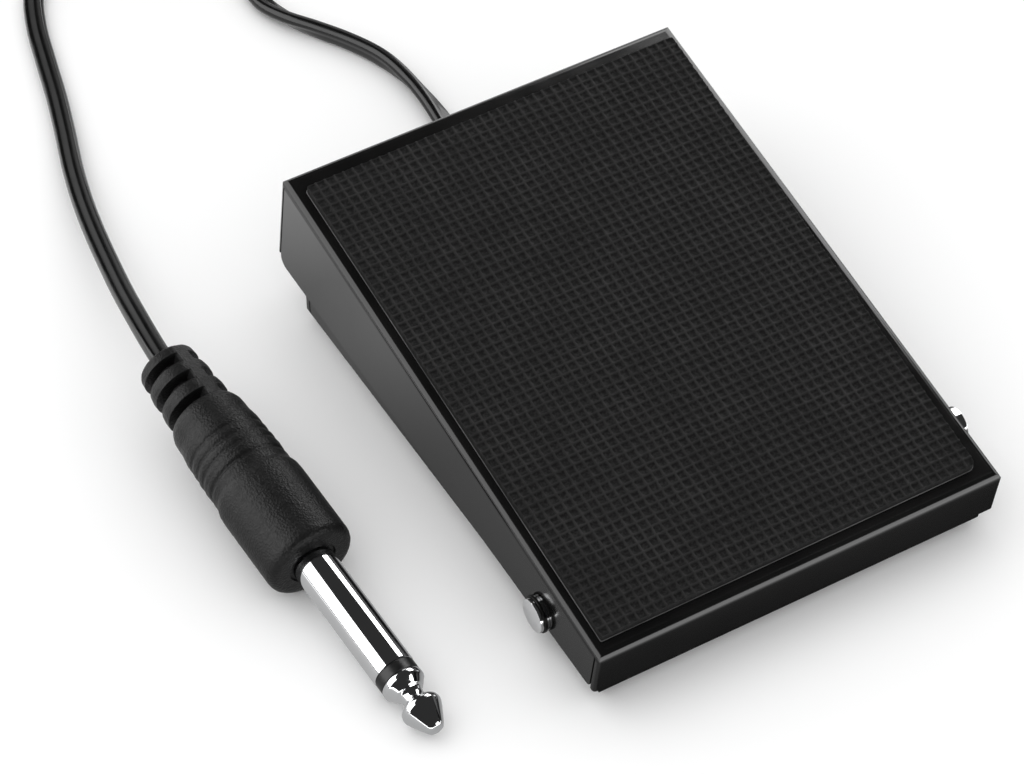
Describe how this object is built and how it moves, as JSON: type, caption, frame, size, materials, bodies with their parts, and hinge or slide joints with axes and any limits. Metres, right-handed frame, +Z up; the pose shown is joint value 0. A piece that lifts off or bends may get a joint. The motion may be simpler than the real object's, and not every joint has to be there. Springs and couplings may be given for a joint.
{
  "type": "sustain pedal",
  "caption": "Sloping sheet-steel sustain pedal: a hinged treadle with a gridded rubber mat over a base tray, spring return, inner switch, twin lead and jack plug.",
  "frame": {"origin": "middle of the bottom face of the pedal's own box, on the floor, the free cord and its plug left out", "axes": "+X to the player's right, +Y from the low hinged end towards the high end with the lead, +Z up"},
  "size_m": [0.1005, 0.2176, 0.0274],
  "materials": {
    "painted_steel": "gloss black stoved paint on folded steel sheet",
    "mat_rubber": "matt black rubber with a fine square grid",
    "rubber": "matt black moulded rubber",
    "chrome": "bright nickel-chrome plate, polished",
    "black_steel": "blackened spring steel, satin",
    "zinc_steel": "bright zinc-plated steel",
    "spring_steel": "drawn spring steel, satin",
    "switch_plastic": "dark moulded thermoset",
    "button_plastic": "red moulded plastic",
    "brass": "tinned brass, dull",
    "cable_pvc": "smooth black PVC with a soft sheen",
    "plug_pvc": "fine-textured black PVC",
    "insulator": "black moulded plastic",
    "adhesive": "grey double-sided adhesive film"
  },
  "bodies": {
    "base": {"base_chassis": "painted_steel", "foot_front_left": "rubber", "foot_rear_left": "rubber", "foot_front_right": "rubber", "foot_rear_right": "rubber", "hinge_axle": "chrome", "retaining_clip_left": "black_steel", "retaining_clip_right": "black_steel", "hinge_washer_left": "zinc_steel", "hinge_washer_right": "zinc_steel", "stop_bridge": "zinc_steel", "rear_buffer_left": "rubber", "rear_buffer_right": "rubber", "return_spring_left": "spring_steel", "return_spring_right": "spring_steel", "spring_seat_lower_left": "zinc_steel", "spring_seat_lower_right": "zinc_steel", "switch_body": "switch_plastic", "switch_bracket": "zinc_steel", "switch_screw_1": "zinc_steel", "switch_screw_2": "zinc_steel", "switch_nut_1": "zinc_steel", "switch_nut_2": "zinc_steel", "switch_tag_common": "brass", "switch_tag_normally_open": "brass", "switch_tag_normally_closed": "brass", "stop_rivet_left": "zinc_steel", "stop_rivet_right": "zinc_steel", "bracket_rivet_front": "zinc_steel", "bracket_rivet_rear": "zinc_steel", "cable_bush": "rubber", "cable_inner": "cable_pvc", "cable_clamp": "zinc_steel", "clamp_screw": "zinc_steel", "lead_common": "cable_pvc", "lead_switched": "cable_pvc", "cable_rear": "cable_pvc", "cable_front": "cable_pvc", "cable_coil": "cable_pvc", "plug_handle": "plug_pvc", "plug_sleeve": "chrome", "plug_insulator": "insulator", "plug_tip": "chrome"},
    "treadle": {"treadle_cover": "painted_steel", "mat_adhesive": "adhesive", "rubber_mat": "mat_rubber", "stop_hook": "zinc_steel", "stop_hook_pad": "rubber", "striker_pad": "rubber", "spring_seat_upper_left": "zinc_steel", "spring_seat_upper_right": "zinc_steel"},
    "switch_lever_body": {"switch_lever": "spring_steel"},
    "switch_button_body": {"switch_button": "button_plastic"}
  },
  "joints": [
    {"name": "treadle_hinge", "type": "hinge", "parent": "base", "child": "treadle", "pos_m": [-0.00108, -0.03057, 0.00594], "axis": [-1, 0, 0], "range_deg": [0, 3.2], "stiffness_Nm_per_rad": 4.4, "springref_deg": -6.88, "deforming": ["return_spring_left", "return_spring_right"]},
    {"name": "switch_lever_pivot", "type": "hinge", "parent": "base", "child": "switch_lever_body", "pos_m": [-0.00408, 0.00532, 0.015], "axis": [-1, 0, 0], "range_deg": [0, 13.2]},
    {"name": "switch_button_travel", "type": "slide", "parent": "base", "child": "switch_button_body", "axis": [0, 0, -1], "range_m": [0, 0.0014]}
  ],
  "couplings": [
    {"joint": "switch_lever_pivot", "follows": "treadle_hinge", "ratio": 4.05},
    {"joint": "switch_button_travel", "follows": "treadle_hinge", "m_per_rad": 0.0242}
  ]
}
